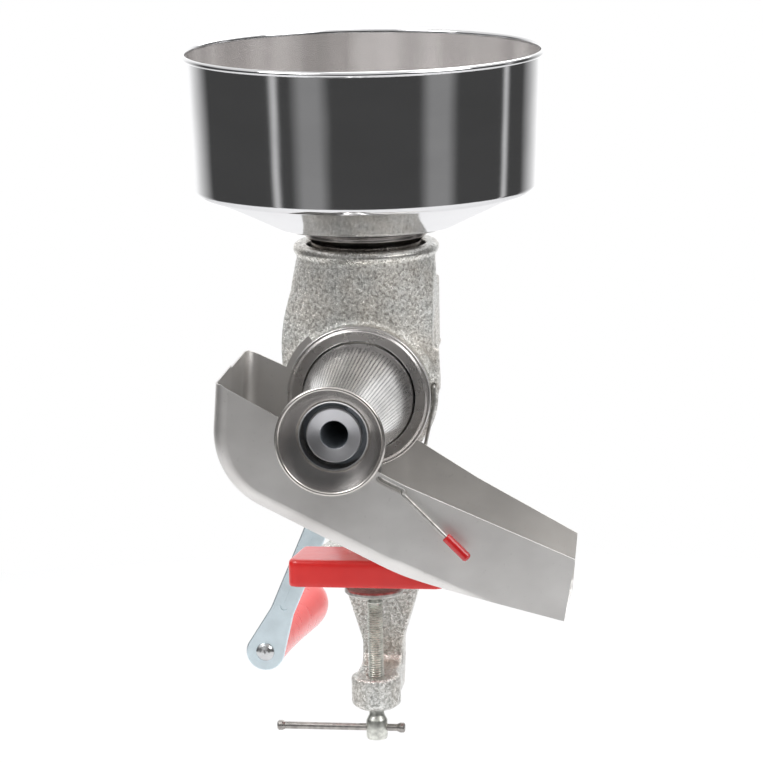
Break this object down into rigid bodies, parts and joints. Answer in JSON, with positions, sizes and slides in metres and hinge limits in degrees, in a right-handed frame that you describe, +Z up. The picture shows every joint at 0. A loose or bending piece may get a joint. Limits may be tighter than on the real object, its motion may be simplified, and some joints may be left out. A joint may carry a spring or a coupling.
{
  "type": "tomato strainer with crank",
  "caption": "Hand cranked tomato strainer: cast barrel with a table clamp, steel hopper, screw in a slotted cone, sloped collecting pan and a crank with a round grip.",
  "frame": {"origin": "where the clamp screw's axis meets the underside of the upper jaw's shoe, which is the table top", "axes": "+Z up along the clamp screw, +Y along the barrel from the waste cup towards the crank, +X to the right of someone facing the waste cup"},
  "size_m": [0.2516, 0.4176, 0.4395],
  "materials": {
    "tinned_iron": "tinned, sandy cast skin",
    "bush_steel": "turned, oiled",
    "red_vinyl": "dipped soft vinyl, glossy",
    "screw_steel": "rolled thread, oiled",
    "bar_steel": "drawn rod, dark",
    "pad_steel": "pressed, zinc plated",
    "spun_steel": "spun and polished stainless",
    "neck_steel": "spun and polished stainless",
    "tinned_sheet": "tinned sheet",
    "perforated_sheet": "perforated tinned sheet",
    "auger_plastic": "moulded, matt",
    "shaft_steel": "turned",
    "crank_zinc": "zinc plated flat bar",
    "nut_steel": "plated",
    "grip_red": "painted, satin gloss",
    "pan_tin": "folded tinned sheet, satin",
    "wire_steel": "drawn wire",
    "latch_red": "translucent dip"
  },
  "bodies": {
    "frame": {"body_casting": "tinned_iron", "shaft_bush": "bush_steel", "clamp_shoe": "red_vinyl", "strainer_flange": "tinned_sheet", "strainer_cone": "perforated_sheet", "waste_cup": "tinned_sheet", "pan": "pan_tin", "pan_hook": "wire_steel"},
    "hopper": {"hopper_bowl": "spun_steel", "hopper_neck": "neck_steel"},
    "crank": {"drive_shaft": "shaft_steel", "auger": "auger_plastic", "thrust_washer": "bush_steel", "crank_arm": "crank_zinc", "crank_washer": "nut_steel", "crank_nut": "nut_steel", "grip_axle": "nut_steel"},
    "handle": {"grip": "grip_red"},
    "pad": {"pressure_pad": "pad_steel"},
    "screw": {"clamp_screw": "screw_steel"},
    "bar": {"tommy_bar": "bar_steel"},
    "latch": {"latch_wire": "wire_steel", "latch_tip": "latch_red"}
  },
  "joints": [
    {"name": "hopper_lift", "type": "slide", "parent": "frame", "child": "hopper", "axis": [0, 0, 1], "range_m": [0, 0.06]},
    {"name": "crank_turn", "type": "hinge", "parent": "frame", "child": "crank", "pos_m": [0, 0.09, 0.124], "axis": [0, 1, 0], "continuous": true},
    {"name": "grip_spin", "type": "hinge", "parent": "crank", "child": "handle", "pos_m": [-0.0886, 0.16, -0.08423], "axis": [0, 1, 0], "continuous": true},
    {"name": "clamp_travel", "type": "slide", "parent": "frame", "child": "pad", "axis": [0, 0, 1], "range_m": [-0.0451, 0.0031]},
    {"name": "screw_turn", "type": "hinge", "parent": "pad", "child": "screw", "pos_m": [0, 0, -0.06], "axis": [0, 0, 1], "range_deg": [-10800, 720]},
    {"name": "bar_slide", "type": "slide", "parent": "screw", "child": "bar", "axis": [1, 0, 0], "range_m": [-0.0055, 0.0505]},
    {"name": "latch_turn", "type": "hinge", "parent": "frame", "child": "latch", "pos_m": [0.0406, -0.165, 0.0912], "axis": [0, 1, 0], "range_deg": [0, 60]}
  ],
  "couplings": [
    {"joint": "clamp_travel", "follows": "screw_turn", "m_per_rad": 0.00023873}
  ]
}
